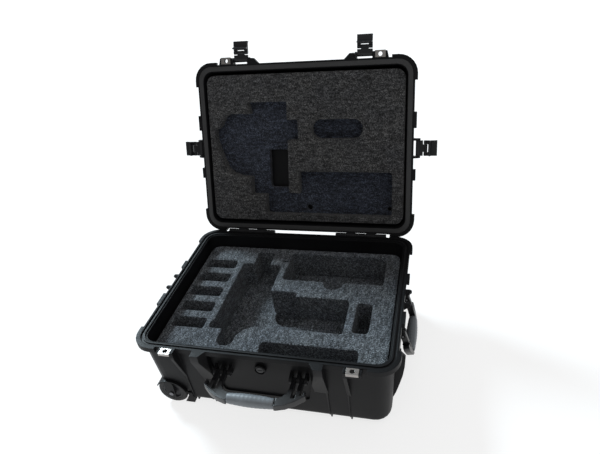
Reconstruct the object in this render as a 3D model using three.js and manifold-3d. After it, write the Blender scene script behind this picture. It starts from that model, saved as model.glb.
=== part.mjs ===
// Wheeled hard carrying case for a folding camera drone: moulded base and lid, layered foam with
// cut pockets, four two-stage latches, two folding handles, a telescopic trolley and two wheels.
// Millimetres, +Z up, front towards -Y. The origin is the centre of the underside.
// The lid is modelled closed and turned open about its hinge, and each latch is modelled closed
// and turned open about its upper pin.
import * as THREE from 'three';
import { mergeVertices } from 'three/addons/utils/BufferGeometryUtils.js';
import Module from 'manifold-3d';

const wasm = await Module();
wasm.setup();

// ---- driving dimensions -------------------------------------------------------------------
const GAP = 0.3; // between pieces that touch
const RIM_HEIGHT = 190; // top of the base rim above the ground
const RIM_HALF_WIDTH = 272.5;
const RIM_HALF_DEPTH = 212.5;
const RIM_CORNER = 38;
const FLANGE = 12; // height of each rim flange
const RIM_LIP = 4; // outer lip of the rim
const SEAL_BAND = 11.5; // band inside the lip
const CHANNEL_DEPTH = 3; // depth of that band in the base
const CHANNEL_BAND = 15; // width of that band, which runs out into the cavity
const BEAD = [9, 13]; // raised bead in it that presses on the seal, measured from the rim's edge
const BEAD_DROP = 0.6; // top of the bead below the rim plane

const WALL = 5;
const SIDE_WALL = [8, 11]; // the base's side walls at the floor and at the rim
const RECESS_FLOOR = 62; // foot of the recess in the front wall that is only WALL thick
const RECESS_CORNER = 14;
const RECESS_HALF = [93, 112]; // half width of that recess at its foot and at the rim
const CAVITY_HALF_WIDTH = 256; // at the rim
const CAVITY_HALF_DEPTH = 196;
const CAVITY_CORNER = 25;
const BASE_TAPER = 8; // the cavity is this much narrower at its floor, each side
const BASE_FLOOR = 12; // inside height of the base floor
const BASE_SKIN = BASE_FLOOR - WALL;
const BASE_EDGE = 20; // rounding of the base's bottom edge
const LID_DEPTH = 52; // inside depth of the lid above the rim
const LID_TAPER = 6;
const LID_EDGE = 14;
const LID_CHAMFER = 4; // inside, where the lid's walls meet its top
const LID_BAND_RISE = 7; // raised bands on the lid's top
const BUMPER = 6; // corner bumpers stand this far out of the rim

const HINGE_Y = 218;
const HINGE_Z = 188;
const HINGE_RADIUS = 6;
const HINGE_PIN = 2;
const HINGE_INNER = 82; // each hinge runs from here ...
const HINGE_OUTER = 211; // ... to here, mirrored about the centre
const LID_OPEN_DEG = 109;

const FOAM_HALF_WIDTH = 250;
const FOAM_HALF_DEPTH = 190;
const FOAM_CORNER = 22;
const FOAM_TOP = RIM_HEIGHT - 35;
const FOAM_SPLIT = RIM_HEIGHT - 105; // pocket floors of the base
const LID_FOAM_HALF = [251, 187];
const LID_BACKING_HALF = [246, 186];
const LID_FOAM_FACE = RIM_HEIGHT + 5;
const LID_FOAM_SPLIT = RIM_HEIGHT + 33; // pocket floors of the lid

const LATCH_X = 155; // front latches, each side of the centre
const LATCH_END_Y = -2; // end latches
const LATCH_HALF = 18.3; // half width of a latch
const LATCH_LUG = 5; // thickness of the lugs beside it
const LATCH_OUT = 9.5; // pins stand this far out of the rim edge
const LATCH_UPPER = 13; // upper pin above the rim plane, closed
const LATCH_LOWER = -5; // lower pin above the rim plane, closed
const LATCH_TIP = -32; // end of the lever, closed
const UPPER_PIN = 2; // radii of its pins
const LOWER_PIN = 1.5;
const LATCH_SPAN = [-30, 30]; // wider than a latch with its lugs
const ARM_TONGUE = 9; // half width of the arm between the lever's eyes

const PADLOCK_INNER = 179.2; // padlock bosses, each side of the centre
const PADLOCK_OUTER = 208;
const PADLOCK_X = 192;
const PADLOCK_Y = -221;
const PADLOCK_FRONT = -228; // front of the padlock bosses and gussets
const PADLOCK_HOLE = 5.4;
const PLATE = 1.4; // thickness of the padlock plates
const PLATE_LIP = 6; // height of the lip bent down or up their fronts
const PLATE_X = [PADLOCK_INNER + 1, 204.5];

const HANDLE_PIVOT_OUT = 14; // pivot in front of the upper wall
const HANDLE_PIVOT_Z = 135;
const HANDLE_REACH = 60; // pivot to the middle of the grip
const HANDLE_NECK = 52; // half length of the straight bar that carries the grip
const HANDLE_PIN = 2.5;
// Half width, fingers, lugs on the base, slots cut down into the frame (with their foot above the
// grip's centre), pin ends, and how far the handle is lifted from hanging.
const FRONT_HANDLE = {
  half: 104,
  fingers: [[69, 77], [85, 93]],
  lugs: [[62, 68.6], [77.4, 84.6], [93.4, 99]],
  slots: [[77.2, 84.8, 13], [93.2, 98.8, 21]],
  pin: [61, 100],
  lift: 90,
};
const SIDE_HANDLE = {
  half: 73,
  fingers: [[54, 62.5]],
  lugs: [[47, 53.6], [62.9, 68.5]],
  slots: [[57, 60, 18]],
  pin: [46, 69.5],
  lift: 14,
};
const GRIP_HALF = 48;
const GRIP_RADIUS = 11.5;

const WHEEL_X = -226;
const WHEEL_Z = 34.4;
const WHEEL_RADIUS = 34;
const WHEEL_IN = 178; // inner and outer faces, from the centre plane
const WHEEL_OUT = 200;
const WELL_RADIUS = 38.5;
const WELL_IN = 166;
const AXLE_RADIUS = 3;
const HUB_RADIUS = 24;
const HOUSING_PLATE = 3.5; // plate behind the wheel
const HOUSING_OUT = 206; // outer face of the wheel's bracket
const GUARD_X = [-200, -178]; // block beside each wheel
const GUARD_Z = [6, 38];

const CHANNEL_HALF = 72; // trolley channel in the underside
const CHANNEL_LEFT = -176;
const CHANNEL_RIGHT = 240;
const CHANNEL_TOP = 20;
const TROLLEY_Y = 50; // tubes each side of the centre
const TROLLEY_Z = 11.5;
const TUBE_WALL = 1.2;
const TUBE_SIZES = [[22, 16], [19, 13], [16, 10]]; // outer, middle and inner tube, Y by Z
const TUBE_LEFT = [-168, -164, -160];
const TUBE_RIGHT = [236, 238, 251];
const GRIP_BAR_X = [242, 260];
const GRIP_BAR_HALF = 66;
const GRIP_BAR_Z = [3.6, 19.6];

const RIGHT_ANGLE = Math.PI / 2;
const radians = THREE.MathUtils.degToRad;

// ---- materials ----------------------------------------------------------------------------
const finish = (color, roughness, metalness = 0) => (
  new THREE.MeshStandardMaterial({ color, roughness, metalness }));
const MATERIALS = {
  shell: finish(0x1e1e20, 0.5),
  latch: finish(0x16171a, 0.4),
  seal: finish(0x3e3e40, 0.6),
  foam: finish(0x4a4e54, 0.95),
  lidFoam: finish(0x45464a, 0.95),
  deepFoam: finish(0x272b38, 0.95),
  grip: finish(0x7f868c, 0.6),
  steel: finish(0xc8ccd0, 0.25, 1),
  aluminium: finish(0xa8abb0, 0.35, 1),
  wheel: finish(0x2a2a2c, 0.5),
  tyre: finish(0x141415, 0.85),
};

// ---- solids -------------------------------------------------------------------------------
function solidOf(geometry) {
  const bare = geometry.clone();
  bare.deleteAttribute('normal');
  bare.deleteAttribute('uv');
  const merged = mergeVertices(bare, 1e-4);
  const vertProperties = new Float32Array(merged.attributes.position.array);
  const triVerts = new Uint32Array(merged.index.array);
  return new wasm.Manifold(new wasm.Mesh({ numProp: 3, vertProperties, triVerts }));
}

function geometryOf(solid) {
  const mesh = solid.getMesh();
  const geometry = new THREE.BufferGeometry();
  geometry.setAttribute('position', new THREE.BufferAttribute(new Float32Array(mesh.vertProperties), 3));
  geometry.setIndex(new THREE.BufferAttribute(new Uint32Array(mesh.triVerts), 1));
  geometry.computeVertexNormals();
  return geometry;
}

const join = (...solids) => solids.reduce((sum, solid) => sum.add(solid));
const cut = (solid, ...tools) => tools.reduce((rest, tool) => rest.subtract(tool), solid);

function block(x, y, z) {
  const box = new THREE.BoxGeometry(x[1] - x[0], y[1] - y[0], z[1] - z[0]);
  return solidOf(box.translate((x[0] + x[1]) / 2, (y[0] + y[1]) / 2, (z[0] + z[1]) / 2));
}

// A cylinder along an axis from one place to another; centre holds its two other coordinates.
function rod(axis, radius, span, centre, segments = 12) {
  const cylinder = new THREE.CylinderGeometry(radius, radius, span[1] - span[0], segments);
  const middle = (span[0] + span[1]) / 2;
  if (axis === 'x') cylinder.rotateZ(-RIGHT_ANGLE).translate(middle, centre[0], centre[1]);
  if (axis === 'y') cylinder.translate(centre[0], middle, centre[1]);
  if (axis === 'z') cylinder.rotateX(RIGHT_ANGLE).translate(centre[0], centre[1], middle);
  return solidOf(cylinder);
}

const shapeOf = (points) => new THREE.Shape(points.map(([a, b]) => new THREE.Vector2(a, b)));
const extruded = (shape, depth) => (
  new THREE.ExtrudeGeometry(shape, { depth, bevelEnabled: false, curveSegments: 3 }));

// Outlines given in (y, z), (x, z) and (x, y) and swept along X, Y and Z.
function prismX(shape, x) {
  const basis = new THREE.Matrix4().makeBasis(
    new THREE.Vector3(0, 1, 0), new THREE.Vector3(0, 0, 1), new THREE.Vector3(1, 0, 0));
  return solidOf(extruded(shape, x[1] - x[0]).applyMatrix4(basis).translate(x[0], 0, 0));
}

function prismY(shape, y) {
  return solidOf(extruded(shape, y[1] - y[0]).rotateX(RIGHT_ANGLE).translate(0, y[1], 0));
}

function prismZ(shape, z) {
  return solidOf(extruded(shape, z[1] - z[0]).translate(0, 0, z[0]));
}

// A rounded rectangle whose corner arcs have more steps the larger their radius is.
function roundedRect(left, right, low, high, radius) {
  const steps = Math.min(7, 2 + Math.floor(radius / 6));
  const centres = [[right, high, -1, -1], [left, high, 1, -1], [left, low, 1, 1], [right, low, -1, 1]];
  const points = [];
  centres.forEach(([x, y, inX, inY], quarter) => {
    for (let step = 0; step <= steps; step += 1) {
      const angle = (quarter + step / steps) * RIGHT_ANGLE;
      points.push([x + inX * radius + radius * Math.cos(angle), y + inY * radius + radius * Math.sin(angle)]);
    }
  });
  return shapeOf(points);
}

const centredRect = (halfWidth, halfDepth, radius) => roundedRect(
  -halfWidth, halfWidth, -halfDepth, halfDepth, radius);

// A closed loft through rounded rectangles of the same number of points, lowest first.
function loft(rings, cornerSteps = 5) {
  const positions = [];
  const indices = [];
  const count = 4 * (cornerSteps + 1);
  for (const { z, halfWidth, halfDepth, corner } of rings) {
    for (let quarter = 0; quarter < 4; quarter += 1) {
      const centreX = (quarter === 0 || quarter === 3 ? 1 : -1) * (halfWidth - corner);
      const centreY = (quarter < 2 ? 1 : -1) * (halfDepth - corner);
      for (let step = 0; step <= cornerSteps; step += 1) {
        const angle = (quarter + step / cornerSteps) * RIGHT_ANGLE;
        positions.push(centreX + corner * Math.cos(angle), centreY + corner * Math.sin(angle), z);
      }
    }
  }
  for (let level = 0; level + 1 < rings.length; level += 1) {
    for (let point = 0; point < count; point += 1) {
      const next = (point + 1) % count;
      const [a, b] = [level * count + point, level * count + next];
      indices.push(a, b, b + count, a, b + count, a + count);
    }
  }
  const top = (rings.length - 1) * count;
  for (let point = 1; point + 1 < count; point += 1) {
    indices.push(0, point + 1, point, top, top + point, top + point + 1);
  }
  const geometry = new THREE.BufferGeometry();
  geometry.setAttribute('position', new THREE.Float32BufferAttribute(positions, 3));
  geometry.setIndex(indices);
  return solidOf(geometry);
}

const mirrorX = (solid) => solid.mirror([1, 0, 0]);
const mirrorY = (solid) => solid.mirror([0, 1, 0]);
const bothX = (solid) => solid.add(mirrorX(solid));
const bothY = (solid) => solid.add(mirrorY(solid));

function piece(name, solid, material) {
  const mesh = new THREE.Mesh(geometryOf(solid), MATERIALS[material]);
  mesh.name = name;
  return mesh;
}

// ---- base shell ---------------------------------------------------------------------------
// Half width and half depth of the base's cavity, or of its outside, at a height.
function baseHalf(z, extra = 0) {
  const share = (RIM_HEIGHT - z) / (RIM_HEIGHT - BASE_FLOOR);
  return [CAVITY_HALF_WIDTH - BASE_TAPER * share + extra, CAVITY_HALF_DEPTH - BASE_TAPER * share + extra];
}

function baseRing(z, extra, inset = 0) {
  const [halfWidth, halfDepth] = baseHalf(z, extra);
  const corner = CAVITY_CORNER + extra - inset / 2;
  return { z, halfWidth: halfWidth - inset, halfDepth: halfDepth - inset, corner };
}

const sideWall = (z) => SIDE_WALL[0] + (SIDE_WALL[1] - SIDE_WALL[0]) * (z / RIM_HEIGHT);

function baseOutside() {
  const rings = [];
  for (let step = 0; step <= 4; step += 1) {
    const angle = (step / 4) * RIGHT_ANGLE;
    const z = BASE_SKIN + BASE_EDGE * (1 - Math.cos(angle));
    rings.push(baseRing(z, sideWall(z), BASE_EDGE * (1 - Math.sin(angle))));
  }
  const top = RIM_HEIGHT - FLANGE / 2;
  rings.push(baseRing(top, sideWall(top)));
  return loft(rings);
}

const CAVITY_CHAMFER = 10;

function baseCavity() {
  return loft([
    baseRing(BASE_FLOOR, 0, CAVITY_CHAMFER),
    baseRing(BASE_FLOOR + CAVITY_CHAMFER, 0),
    baseRing(RIM_HEIGHT + 1, 0),
  ]);
}

// A rim flange with its corner bumpers, between two heights.
function rimFlange(z) {
  const flange = prismZ(centredRect(RIM_HALF_WIDTH, RIM_HALF_DEPTH, RIM_CORNER), z);
  const proud = centredRect(RIM_HALF_WIDTH + BUMPER, RIM_HALF_DEPTH + BUMPER, RIM_CORNER + BUMPER);
  const corner = block([219, 300], [160, 300], [z[0] - 1, z[1] + 1]);
  const bumpers = prismZ(proud, z).intersect(bothY(bothX(corner)));
  const endBlocks = join(
    block([RIM_HALF_WIDTH - 2, RIM_HALF_WIDTH + BUMPER], [-88, -50], z),
    block([RIM_HALF_WIDTH - 2, RIM_HALF_WIDTH + BUMPER], [48, 75], z));
  return join(flange, bumpers, bothX(endBlocks));
}

// A ring that follows the rim, between two distances from its edge.
function rimRing(from, to, z) {
  const ring = centredRect(RIM_HALF_WIDTH - from, RIM_HALF_DEPTH - from, RIM_CORNER - from);
  ring.holes.push(centredRect(RIM_HALF_WIDTH - to, RIM_HALF_DEPTH - to, RIM_CORNER - to + 3));
  return prismZ(ring, z);
}

const sealBand = (z, shrink = 0) => rimRing(RIM_LIP + shrink, RIM_LIP + SEAL_BAND - shrink, z);

// What is cut from the base's rim inside its lip, with the bead left standing.
const rimChannel = () => rimRing(RIM_LIP, RIM_LIP + CHANNEL_BAND, [RIM_HEIGHT - CHANNEL_DEPTH, RIM_HEIGHT + 1])
  .subtract(rimRing(BEAD[0], BEAD[1], [RIM_HEIGHT - CHANNEL_DEPTH - 1, RIM_HEIGHT - BEAD_DROP]));

const RIM_FOOT = RIM_HEIGHT - FLANGE; // underside of the rim flange
const COLUMN_FADE = 92; // the columns below the rim run out into the wall at this height
const COLUMN_FADE_Y = -201.5;
const COLUMN_ROOT_Y = -190; // inside the front wall
const COLUMN_X = [107, LATCH_X - LATCH_HALF - 0.9];
const COLUMN_CHAMFER = 11; // of the gusset's outer corner
const BOSS_X = [LATCH_X + LATCH_HALF + 0.9, 213];
const BOSS_SIDE_Y = -226; // front of the boss beside its plate
const BOSS_ROOT_Y = -200;
const BOSS_COLUMN_WIDTH = 7.4;
const PLATE_BACK_Y = -213; // back edge of the padlock plates
const RIDGES = [[131, 134], [174, 177]]; // thin ribs down the front, ending in feet
const RIDGE_PROFILE = [
  [-185, RIM_FOOT + 1], [-208.5, RIM_FOOT + 1], [-199.5, 30], [-197, 20], [-189, 10], [-183, BASE_SKIN]];

// A column's outline from the side: full depth at the rim, running out into the wall below.
const columnProfile = (front, top) => shapeOf([
  [COLUMN_ROOT_Y, top], [front, top], [front, RIM_FOOT - 6],
  [COLUMN_FADE_Y, COLUMN_FADE], [COLUMN_ROOT_Y, COLUMN_FADE]]);

// One corner of the front: a column that carries the rim out as a gusset, the padlock boss with
// the narrow column under it, and two thin ridges. The latch lies between the two columns.
function frontCorner() {
  const gusset = shapeOf([
    [COLUMN_X[0], COLUMN_ROOT_Y], [COLUMN_X[0], -RIM_HALF_DEPTH],
    [COLUMN_X[0] + COLUMN_CHAMFER, PADLOCK_FRONT], [COLUMN_X[1], PADLOCK_FRONT], [COLUMN_X[1], COLUMN_ROOT_Y]]);
  const gussetColumn = prismX(columnProfile(PADLOCK_FRONT, RIM_HEIGHT), COLUMN_X)
    .intersect(prismZ(gusset, [COLUMN_FADE - 2, RIM_HEIGHT]));
  const bossColumn = prismX(
    columnProfile(BOSS_SIDE_Y, RIM_FOOT + 1), [BOSS_X[0], BOSS_X[0] + BOSS_COLUMN_WIDTH]);
  const boss = prismZ(shapeOf([
    [BOSS_X[0], BOSS_ROOT_Y], [BOSS_X[0], BOSS_SIDE_Y], [PADLOCK_INNER, PADLOCK_FRONT],
    [PADLOCK_OUTER, PADLOCK_FRONT], [BOSS_X[1], BOSS_ROOT_Y],
  ]), [RIM_FOOT, RIM_HEIGHT - PLATE - GAP]);
  const besidePlate = PLATE_X[0] - 1.8;
  const plateSurround = prismZ(shapeOf([
    [BOSS_X[0], BOSS_ROOT_Y], [BOSS_X[0], BOSS_SIDE_Y], [besidePlate, BOSS_SIDE_Y], [besidePlate, PLATE_BACK_Y],
    [BOSS_X[1] - 3, PLATE_BACK_Y], [BOSS_X[1], BOSS_ROOT_Y],
  ]), [RIM_FOOT, RIM_HEIGHT]);
  const hole = rod('z', PADLOCK_HOLE, [RIM_FOOT - 1, RIM_HEIGHT + 1], [PADLOCK_X, PADLOCK_Y], 16);
  const lipSeat = block(
    [PLATE_X[0] - GAP, PLATE_X[1] + GAP], [PADLOCK_FRONT - 12, PADLOCK_FRONT + 0.4],
    [RIM_HEIGHT - PLATE_LIP - GAP, RIM_HEIGHT + 1]);
  const ridges = RIDGES.map((x) => prismX(shapeOf(RIDGE_PROFILE), x));
  return cut(join(gussetColumn, bossColumn, boss, plateSurround, ...ridges), hole, lipSeat);
}

// Curved fins that guard the ends of the base, and the lugs that flank each end latch.
const FIN_Y = [-150, -143];

function endRibs() {
  const fin = new THREE.Shape();
  fin.moveTo(246, 178.5);
  fin.lineTo(246, 20);
  fin.quadraticCurveTo(262, 40, 272, 84);
  fin.quadraticCurveTo(283, 120, 284, 162);
  fin.lineTo(271, 178.5);
  const fins = prismY(fin, FIN_Y);
  const lug = shapeOf([
    [254, 170], [272, 170], [286, 182], [286, 186], [282, RIM_HEIGHT - 1], [254, RIM_HEIGHT - 1]]);
  const lugs = join(
    prismY(lug, [LATCH_END_Y + LATCH_HALF + 0.5, LATCH_END_Y + LATCH_HALF + LATCH_LUG]),
    prismY(lug, [LATCH_END_Y - LATCH_HALF - LATCH_LUG, LATCH_END_Y - LATCH_HALF - 0.5]));
  return bothX(fins.add(lugs));
}

const LUG_RADIUS = 6.5; // round end of the handle lugs
const LUG_FOOT = 10; // half height of them at the wall

// Lugs for a handle's pins, standing out of the front wall; the right end's are turned there.
function handleLugs(wallAtPivot, size) {
  const pivot = wallAtPivot + HANDLE_PIVOT_OUT;
  const root = -wallAtPivot + WALL - 1;
  const lug = new THREE.Shape();
  lug.moveTo(root, HANDLE_PIVOT_Z - LUG_FOOT - 2);
  lug.lineTo(root, HANDLE_PIVOT_Z + LUG_FOOT + 2);
  lug.lineTo(-wallAtPivot, HANDLE_PIVOT_Z + LUG_FOOT);
  lug.absarc(-pivot, HANDLE_PIVOT_Z, LUG_RADIUS, RIGHT_ANGLE, 3 * RIGHT_ANGLE);
  lug.lineTo(-wallAtPivot, HANDLE_PIVOT_Z - LUG_FOOT);
  const lugs = size.lugs.map((x) => prismX(lug, x));
  const bore = rod('x', HANDLE_PIN + GAP, [size.pin[0] - 2, size.pin[1] + 2], [-pivot, HANDLE_PIVOT_Z], 8);
  return bothX(cut(join(...lugs), bore));
}

const KNUCKLES = 5;
const knuckleLength = (HINGE_OUTER - HINGE_INNER) / KNUCKLES;
const knuckleSpan = (number, shorter) => [
  HINGE_INNER + number * knuckleLength + shorter, HINGE_INNER + (number + 1) * knuckleLength - shorter];

// Knuckles of one hinge half: the base has numbers 0, 2 and 4, the lid 1 and 3.
function knuckles(first, web) {
  const parts = [];
  for (let number = first; number < KNUCKLES; number += 2) {
    const x = knuckleSpan(number, GAP);
    parts.push(rod('x', HINGE_RADIUS, x, [HINGE_Y, HINGE_Z]), prismX(web, x));
  }
  return parts;
}

function knuckleRelief(first) {
  const parts = [];
  for (let number = first; number < KNUCKLES; number += 2) {
    const x = knuckleSpan(number, -GAP);
    parts.push(rod('x', HINGE_RADIUS + 1, x, [HINGE_Y, HINGE_Z], 10));
  }
  return bothX(join(...parts));
}

const hingeBore = () => bothX(
  rod('x', HINGE_PIN + GAP, [HINGE_INNER - 5, HINGE_OUTER + 5], [HINGE_Y, HINGE_Z], 8));

const BACK_RIB = 6; // thickness

function backRibs() {
  const rib = shapeOf([[190, RIM_FOOT + 1], [213, RIM_FOOT + 1], [204, 26], [198, 10], [190, BASE_SKIN]]);
  const places = [HINGE_INNER + 1, (HINGE_INNER + HINGE_OUTER - BACK_RIB) / 2, HINGE_OUTER - BACK_RIB - 1];
  return bothX(join(...places.map((x) => prismX(rib, [x, x + BACK_RIB]))));
}

const FOOT_Y = [168, 187];
const footStrips = () => bothY(bothX(join(...RIDGES.map((x) => block(x, FOOT_Y, [0, BASE_SKIN + 3])))));

// Fills the corner between a wheel and the floor, flush with the wheel's face.
const wheelGuards = () => bothY(block(GUARD_X, [180, WHEEL_OUT + 1], GUARD_Z));

const wheelWell = (radius, inner) => bothY(rod('y', radius, [inner, 240], [WHEEL_X, WHEEL_Z], 24));

const VALVE_Z = 145;
const VALVE_SEAT = 12.5; // radius of the ring around the pressure valve
const VALVE_BODY = 10;
const VALVE_STEM = 5;

function valveSeat() {
  return cut(
    rod('y', VALVE_SEAT, [-207, -196], [0, VALVE_Z], 18),
    rod('y', VALVE_BODY + GAP, [-210, -199.6], [0, VALVE_Z], 18),
    rod('y', VALVE_STEM + GAP, [-202, -190], [0, VALVE_Z], 12));
}

// The front wall is stepped back to its plain thickness between the two columns.
function handleRecess() {
  const [foot, top] = RECESS_HALF;
  const rest = shapeOf([
    [-240, RIM_FOOT], [-baseHalf(RIM_FOOT, WALL)[1], RIM_FOOT],
    [-baseHalf(RECESS_FLOOR, WALL)[1], RECESS_FLOOR], [-240, RECESS_FLOOR]]);
  const sloping = prismY(shapeOf([
    [-foot, RECESS_FLOOR], [foot, RECESS_FLOOR], [top, RIM_FOOT], [-top, RIM_FOOT]]), [-240, -180]);
  const rounded = prismY(roundedRect(-foot - 4, foot + 4, RECESS_FLOOR, 260, RECESS_CORNER), [-240, -180]);
  const wide = block([-top, top], [-240, -180], [RECESS_FLOOR + 2 * RECESS_CORNER, RIM_FOOT]);
  return prismX(rest, [-120, 120]).intersect(sloping).intersect(join(rounded, wide));
}

function baseShell() {
  const outside = baseOutside().subtract(handleRecess());
  const hingeWeb = shapeOf([
    [200, RIM_FOOT + 0.5], [HINGE_Y - 2, RIM_FOOT + 0.5], [HINGE_Y + 4, HINGE_Z - 4], [HINGE_Y, HINGE_Z],
    [200, HINGE_Z]]);
  const channelSide = block(
    [CHANNEL_LEFT - 2, CHANNEL_RIGHT - 2], [CHANNEL_HALF, CHANNEL_HALF + WALL], [0, BASE_SKIN + 1]);
  const skin = join(
    outside,
    rimFlange([RIM_FOOT, RIM_HEIGHT]),
    bothX(frontCorner()),
    backRibs(),
    endRibs(),
    footStrips(),
    wheelGuards(),
    handleLugs(baseHalf(HANDLE_PIVOT_Z, WALL)[1], FRONT_HANDLE),
    handleLugs(baseHalf(HANDLE_PIVOT_Z, WALL)[0], SIDE_HANDLE).rotate([0, 0, 90]),
    bothX(join(...knuckles(0, hingeWeb))),
    bothY(channelSide));
  const wellWalls = wheelWell(WELL_RADIUS + WALL, WELL_IN - WALL).intersect(outside);
  const channelRoof = block(
    [CHANNEL_LEFT - 4, baseHalf(CHANNEL_TOP)[0]], [-CHANNEL_HALF - 4, CHANNEL_HALF + 4],
    [BASE_FLOOR - 1, CHANNEL_TOP + 4]);
  const closed = join(skin.subtract(baseCavity()), wellWalls, channelRoof);
  const valveHole = join(
    rod('y', VALVE_STEM + GAP, [-230, -180], [0, VALVE_Z], 12),
    rod('y', VALVE_SEAT, [-212, -196], [0, VALVE_Z], 18));
  return cut(
    closed.subtract(valveHole).add(valveSeat()),
    wheelWell(WELL_RADIUS, WELL_IN),
    block([CHANNEL_LEFT, 300], [-CHANNEL_HALF, CHANNEL_HALF], [-1, CHANNEL_TOP]),
    rimChannel(),
    knuckleRelief(1),
    hingeBore());
}

// ---- foam ---------------------------------------------------------------------------------
const polygon = (points, z) => prismZ(shapeOf(points), z);
const rectangle = (x, y, radius, z) => prismZ(roundedRect(x[0], x[1], y[0], y[1], radius), z);

const BATTERY_PITCH = 53.5;
const BATTERY_COUNT = 5;
const BATTERY_FIRST_Y = 114;
const BATTERY_HALF = 15.5;
const BATTERY_X = [-240, -161];
const WELL = { x: 0, y: 14, radius: 36, depth: 22 }; // round well for the camera, below a pocket

// Everything cut through the base's top foam layer.
function basePockets(z) {
  const pockets = [
    rectangle([-143, -42], [-97, 122], 8, z), // drone body, with a tab, a channel and its arms
    polygon([
      [-143, -60], [-143, -82], [-149, -95], [-149, -111], [-79, -111],
      [-79, -128], [-66, -108], [-50, -97], [-50, -60]], z),
    rectangle([-115, -72], [110, 172], 5, z),
    rectangle([-116, -79], [-159, -90], 18, z),
    rectangle([-60, 23], [-97, 23], 5, z),
    rectangle([10, 150], [-96, 10], 6, z),
    rectangle([-25, 218], [68, 172], 6, z), // controller, with a finger notch
    rod('z', 24, z, [101, 66], 24),
    rectangle([168, 203], [-90, 2], 8, z),
    rectangle([-16, 192], [-172, -138], 8, z),
    rectangle([-45, -27], [136, 142], 2, z), // slit between two pockets
  ];
  for (let number = 0; number < BATTERY_COUNT; number += 1) {
    const y = BATTERY_FIRST_Y - number * BATTERY_PITCH;
    pockets.push(rectangle(BATTERY_X, [y - BATTERY_HALF, y + BATTERY_HALF], 4, z));
  }
  return join(...pockets);
}

function baseFoam() {
  const z = [FOAM_SPLIT, FOAM_TOP];
  const layer = prismZ(centredRect(FOAM_HALF_WIDTH, FOAM_HALF_DEPTH, FOAM_CORNER), z);
  return layer.subtract(basePockets([z[0] - 1, z[1] + 1]));
}

function baseFoamPad() {
  const foot = BASE_FLOOR + GAP;
  const pad = loft([
    baseRing(foot, -1.5, CAVITY_CHAMFER),
    baseRing(foot + CAVITY_CHAMFER, -1.5),
    baseRing(FOAM_SPLIT - GAP, -1.5),
  ]);
  const wellSpan = [FOAM_SPLIT - WELL.depth, FOAM_SPLIT + 1];
  const well = rod('z', WELL.radius, wellSpan, [WELL.x, WELL.y], 24).intersect(basePockets(wellSpan));
  return cut(
    pad,
    well,
    wheelWell(WELL_RADIUS + WALL + 1, WELL_IN - WALL - 1),
    block([CHANNEL_LEFT - 5, 300], [-CHANNEL_HALF - 5, CHANNEL_HALF + 5], [0, CHANNEL_TOP + 4 + GAP]));
}

// Everything cut through the lid's face foam: the drone's outline, a controller and a strap slot.
function lidPockets(z) {
  const body = new THREE.Shape();
  body.moveTo(-145, -119);
  body.lineTo(-40, -119);
  body.lineTo(-41, -74);
  body.lineTo(-13, -74);
  body.lineTo(-13, -24);
  body.lineTo(-40, -24);
  body.lineTo(-42, 119);
  body.lineTo(-144, 119);
  body.lineTo(-143, 73);
  body.quadraticCurveTo(-200, 72, -211, 48);
  body.quadraticCurveTo(-224, 22, -238, -27);
  body.lineTo(-238, -51);
  body.quadraticCurveTo(-222, -52, -214, -75);
  body.quadraticCurveTo(-207, -92, -190, -91);
  body.lineTo(-138, -90);
  return join(
    prismZ(body, z),
    rectangle([-105, -13], [112, 170], 6, z),
    rectangle([-13.5, 223], [57, 170], 7, z),
    rectangle([22, 151], [-74, -26], 23.9, z));
}

function lidFoam() {
  const z = [LID_FOAM_FACE, LID_FOAM_SPLIT];
  return cut(prismZ(centredRect(...LID_FOAM_HALF, FOAM_CORNER), z), lidPockets([z[0] - 1, z[1] + 1]));
}

function lidFoamBacking() {
  const z = [LID_FOAM_SPLIT + GAP, RIM_HEIGHT + LID_DEPTH - GAP];
  const through = [z[0] - 1, z[1] + 1];
  return cut(
    prismZ(centredRect(...LID_BACKING_HALF, FOAM_CORNER), z),
    rectangle([-98, -45], [3, 103], 4, through), // window through to the lid
    rectangle([-44, -12], [134.5, 139.5], 2, through),
    rod('z', 8, through, [6, 156], 16),
    rod('z', 6, through, [216, 155], 16));
}

// ---- lid ----------------------------------------------------------------------------------
const LID_TOP = RIM_HEIGHT + LID_DEPTH + WALL;
const LID_RIM = RIM_HEIGHT + GAP + 0.1; // underside of the lid's rim, closed
const SEAL_GROOVE = 3; // depth of the seal's groove in it

function lidRing(z, extra, inset = 0) {
  const share = (z - RIM_HEIGHT) / LID_DEPTH;
  return {
    z,
    halfWidth: CAVITY_HALF_WIDTH - LID_TAPER * share + extra - inset,
    halfDepth: CAVITY_HALF_DEPTH - LID_TAPER * share + extra - inset,
    corner: CAVITY_CORNER + extra - inset / 2,
  };
}

function lidOutside() {
  const rings = [lidRing(LID_RIM + FLANGE / 2, WALL)];
  for (let step = 4; step >= 0; step -= 1) {
    const angle = (step / 4) * RIGHT_ANGLE;
    const z = LID_TOP - LID_EDGE * (1 - Math.cos(angle));
    rings.push(lidRing(z, WALL, LID_EDGE * (1 - Math.sin(angle))));
  }
  return loft(rings);
}

// The upper lug pair of a latch, in the latch's own place at the middle of the front rim.
function latchLugs() {
  const edge = -RIM_HALF_DEPTH;
  const lug = shapeOf([
    [edge + 12, LID_RIM], [edge - 5, LID_RIM], [edge - 15.5, RIM_HEIGHT + 8], [edge - 15.5, RIM_HEIGHT + 16],
    [edge - 11, RIM_HEIGHT + 19.5], [edge - 4, RIM_HEIGHT + 19.5], [edge + 12, RIM_HEIGHT + 36]]);
  const lugs = bothX(prismX(lug, [LATCH_HALF + 0.5, LATCH_HALF + LATCH_LUG]));
  const bore = rod('x', UPPER_PIN + GAP, LATCH_SPAN, [edge - LATCH_OUT, RIM_HEIGHT + LATCH_UPPER], 8);
  return lugs.subtract(bore);
}

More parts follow.
